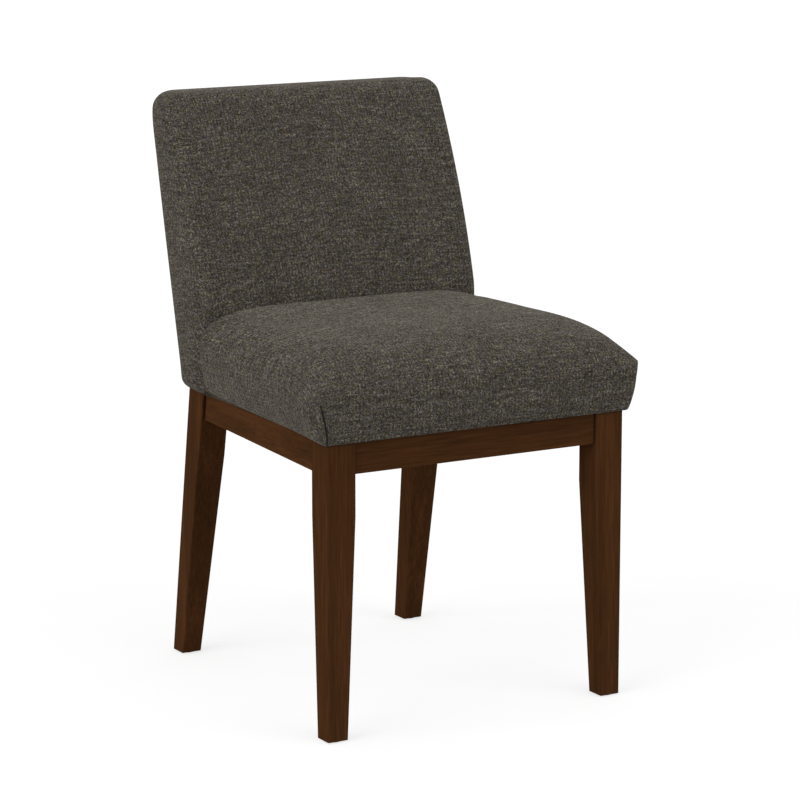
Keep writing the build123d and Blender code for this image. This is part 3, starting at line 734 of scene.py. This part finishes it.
def panelSkin():
    # a thin pad worked out flat, x across and y up the back, with a rounded edge and a crown (1 - a^4)
    # (1 - b^4), then stood up along the lean: base + y(up) + z(out), less (|x| - flat)^2/2r where the back
    # rounds off
    grid = panel["grid"]
    lean = back["lean"]
    one = np.ones(grid["wall"] + 1)
    turn = np.radians(np.linspace(0, 90, grid["wall"] + 1))
    inset = panel["proud"] * (1 - np.cos(turn))
    half = panelHigh.x * one - inset
    radius = panel["corner"] * one - inset
    plan = plans(half, half, inset, panelTall - inset, radius, radius, grid)
    lift = panel["clearance"] + panel["proud"] * np.sin(turn)
    wall = np.concatenate([plan, np.broadcast_to(lift[:, None, None], (*plan.shape[:2], 1))], -1)
    top = patch(wall[-1], grid)
    across = top[..., 0] / panelHigh.x
    along = 2 * top[..., 1] / panelTall - 1
    top[..., 2] += panel["crown"] * (1 - across ** 4) * (1 - along ** 4)
    flatHalf = back["halfWidth"] - back["rearCorner"]
    base = np.array([0, outsideBack(panelLow.z), panelLow.z])
    up = np.array([0, math.sin(lean), math.cos(lean)])
    out = np.array([0, math.cos(lean), -math.sin(lean)])
    skins = []
    for flat in (wall, top):
        drop = np.maximum(np.abs(flat[..., 0]) - flatHalf, 0) ** 2 / (2 * back["rearCorner"])
        stood = base + flat[..., 1:2] * up + (flat[..., 2] - drop)[..., None] * out
        skins.append(stood - flat[..., :1] * np.array([1, 0, 0]))
    return skins


backPanel = padMesh("outside_back_panel", *panelSkin(), hangingMap, panel["grid"])
subdivide(backPanel)
finishPiece(backPanel, charcoalCloth, "charcoal_weave", "outside_back_cover")
print("outside back made")


# Dust cover
dust = {
    "margin": 9 * mm,  # inside the legs' outer faces
    "sag": 5 * mm,
    "held": 42 * mm,  # width of the stapled border
    "pleat": 0.5 * mm,
    "pleatLength": 60 * mm,
    "steps": (60, 60),
}


def dustSheet():
    # nonwoven cloth stapled flat round its border: sag (1 - a^2)^2 (1 - b^2)^2 inside it, with faint pleats
    # sin(2 pi x/length) (1 - a^2)(1 - b^2) b^2
    nx, ny = dust["steps"]
    y = np.linspace(sheetLow.y, sheetHigh.y, ny + 1)[:, None]
    half = legLine(y) - dust["margin"]
    x = np.linspace(-1, 1, nx + 1) * half
    held = dust["held"]
    a = np.minimum(np.abs(x) / (half - held), 1)
    middle = (sheetLow.y + sheetHigh.y) / 2
    b = np.minimum(np.abs(y - middle) / ((sheetHigh.y - sheetLow.y) / 2 - held), 1)
    free = (1 - a ** 2) ** 2 * (1 - b ** 2) ** 2
    pleats = np.sin(2 * math.pi * x / dust["pleatLength"]) * (1 - a ** 2) * (1 - b ** 2) * b ** 2
    z = (sheetLow.z + sheetHigh.z) / 2 - dust["sag"] * free + dust["pleat"] * pleats
    points = np.stack([x, np.broadcast_to(y, x.shape), z], -1)
    ids = np.arange(x.size).reshape(x.shape)
    faces = cells(ids)[:, [0, 3, 2, 1]]  # facing down
    mesh = bpy.data.meshes.new("dust_sheet")
    mesh.from_pydata(points.reshape(-1, 3).tolist(), [], faces.tolist())
    mesh.polygons.foreach_set("use_smooth", np.ones(len(mesh.polygons), bool))
    mesh.update()
    sheet = bpy.data.objects.new("dust_sheet", mesh)
    bpy.context.scene.collection.objects.link(sheet)
    return sheet


finishPiece(dustSheet(), finishes["nonwoven"], "dust_cloth", "dust_cover")
print("dust cover made")


# Finishes of the solids that stay
grainOf = {"front_leg": 2, "rear_leg": 2, "front_rail": 0, "rear_rail": 0, "side_rail": 1}
finishOf = {"foot_glide": "glide", "corner_block_screws": "zinc", "bolt": "zinc", "tee_nuts": "zinc",
            "staples": "zinc", "webbing": "jute", "dust_cover": "nonwoven"}
for name, node in nodes.items():
    grain = next((axis for key, axis in grainOf.items() if name.startswith(key)), None)
    finish = next((value for key, value in finishOf.items() if key in name), "block")
    material = finishes[finish] if grain is None else walnutAlong[grain]
    node.data.materials.clear()
    node.data.materials.append(material)
print("finishes set")


# Studio
studio = {
    "floorSize": 60.0,
    "floorBounce": 0.45,  # how much light the floor throws back up
    "floorWhite": 1.05,  # its level away from the chair, where 1 is white
    "floorShade": 0.5,  # share of the floor's white that shadows can take away
    "ambient": 0.455,
    "lamps": {  # strength, and the way to the lamp
        "left": (1.32, (-0.92, -0.15, 0.35)),
        "front": (0.7, (0.3, -0.85, 0.45)),
    },
    "lampSpread": 55.0,  # degrees
}


def seenRays(tree):
    # 1 where the camera looks, straight or by a reflection or through glass, and 0 for the light on the chair
    path = addNode(tree, "ShaderNodeLightPath")
    seen = path.outputs["Is Camera Ray"]
    for kind in ("Is Glossy Ray", "Is Transmission Ray"):
        links = {0: seen, 1: path.outputs[kind]}
        seen = addNode(tree, "ShaderNodeMath", {"operation": "MAXIMUM"}, links).outputs[0]
    return seen


def paleFloor():
    # matt white; the camera sees it white, less a share of the chair's shadow, and clear from below
    material, tree, shader = newMaterial("pale_floor")
    tree.nodes.remove(shader)
    output = next(node for node in tree.nodes if node.type == "OUTPUT_MATERIAL")
    shade = studio["floorShade"]
    bounce = studio["floorBounce"]
    lit = studio["ambient"]
    for strength, way in studio["lamps"].values():
        lit += strength * Vector(way).normalized().z / math.pi
    glow = addNode(tree, "ShaderNodeEmission", {"Strength": studio["floorWhite"] - shade * lit}).outputs[0]
    shaded = addNode(tree, "ShaderNodeBsdfDiffuse", {"Color": (shade, shade, shade, 1)}).outputs[0]
    shown = addNode(tree, "ShaderNodeAddShader", links={0: shaded, 1: glow}).outputs[0]
    plain = addNode(tree, "ShaderNodeBsdfDiffuse", {"Color": (bounce, bounce, bounce, 1)}).outputs[0]
    above = addNode(tree, "ShaderNodeMixShader", links={0: seenRays(tree), 1: plain, 2: shown}).outputs[0]
    clear = addNode(tree, "ShaderNodeBsdfTransparent").outputs[0]
    below = addNode(tree, "ShaderNodeNewGeometry").outputs["Backfacing"]
    whole = addNode(tree, "ShaderNodeMixShader", links={0: below, 1: above, 2: clear}).outputs[0]
    tree.links.new(whole, output.inputs["Surface"])
    return material


def makeFloor():
    half = studio["floorSize"] / 2
    corners = [(-half, -half, 0), (half, -half, 0), (half, half, 0), (-half, half, 0)]
    mesh = bpy.data.meshes.new("floor")
    mesh.from_pydata(corners, [], [(0, 1, 2, 3)])
    floor = bpy.data.objects.new("floor", mesh)
    bpy.context.scene.collection.objects.link(floor)
    mesh.materials.append(paleFloor())


def makeWorld():
    # even white light from all round, and a white backdrop
    world = bpy.data.worlds.new("studio")
    world.use_nodes = True
    tree = world.node_tree
    tree.nodes.clear()
    output = addNode(tree, "ShaderNodeOutputWorld")
    glows = []
    for level in (studio["ambient"], 1.0):
        glow = addNode(tree, "ShaderNodeBackground", {"Color": (1, 1, 1, 1), "Strength": level})
        glows.append(glow.outputs[0])
    light, white = glows
    whole = addNode(tree, "ShaderNodeMixShader", links={0: seenRays(tree), 1: light, 2: white}).outputs[0]
    tree.links.new(whole, output.inputs["Surface"])
    bpy.context.scene.world = world


def addLamps():
    # broad soft lights from the chair's left and from its front, even over the floor
    for name, (strength, way) in studio["lamps"].items():
        light = bpy.data.lights.new(name, "SUN")
        light.energy = strength
        light.angle = math.radians(studio["lampSpread"])
        lamp = bpy.data.objects.new(name, light)
        lamp.rotation_euler = Vector(way).to_track_quat("Z", "Y").to_euler()
        bpy.context.scene.collection.objects.link(lamp)


view = {
    "yaw": 30.346,  # degrees from straight ahead of the chair, towards its left
    "pitch": 11.295,  # degrees down
    "focalPixels": 3214.0,
    "imagePixels": 800,
    "sensorMm": 36.0,
    "place": (-2.2627, -3.9261, 1.3098),  # metres
}


def makeCamera():
    data = bpy.data.cameras.new("camera")
    data.sensor_width = view["sensorMm"]
    data.lens = view["focalPixels"] * view["sensorMm"] / view["imagePixels"]
    camera = bpy.data.objects.new("camera", data)
    camera.location = view["place"]
    camera.rotation_euler = (math.radians(90 - view["pitch"]), 0, math.radians(-view["yaw"]))
    bpy.context.scene.collection.objects.link(camera)
    bpy.context.scene.camera = camera


makeFloor()
makeWorld()
addLamps()
makeCamera()
bpy.context.scene.view_settings.view_transform = "Standard"
print("studio made")
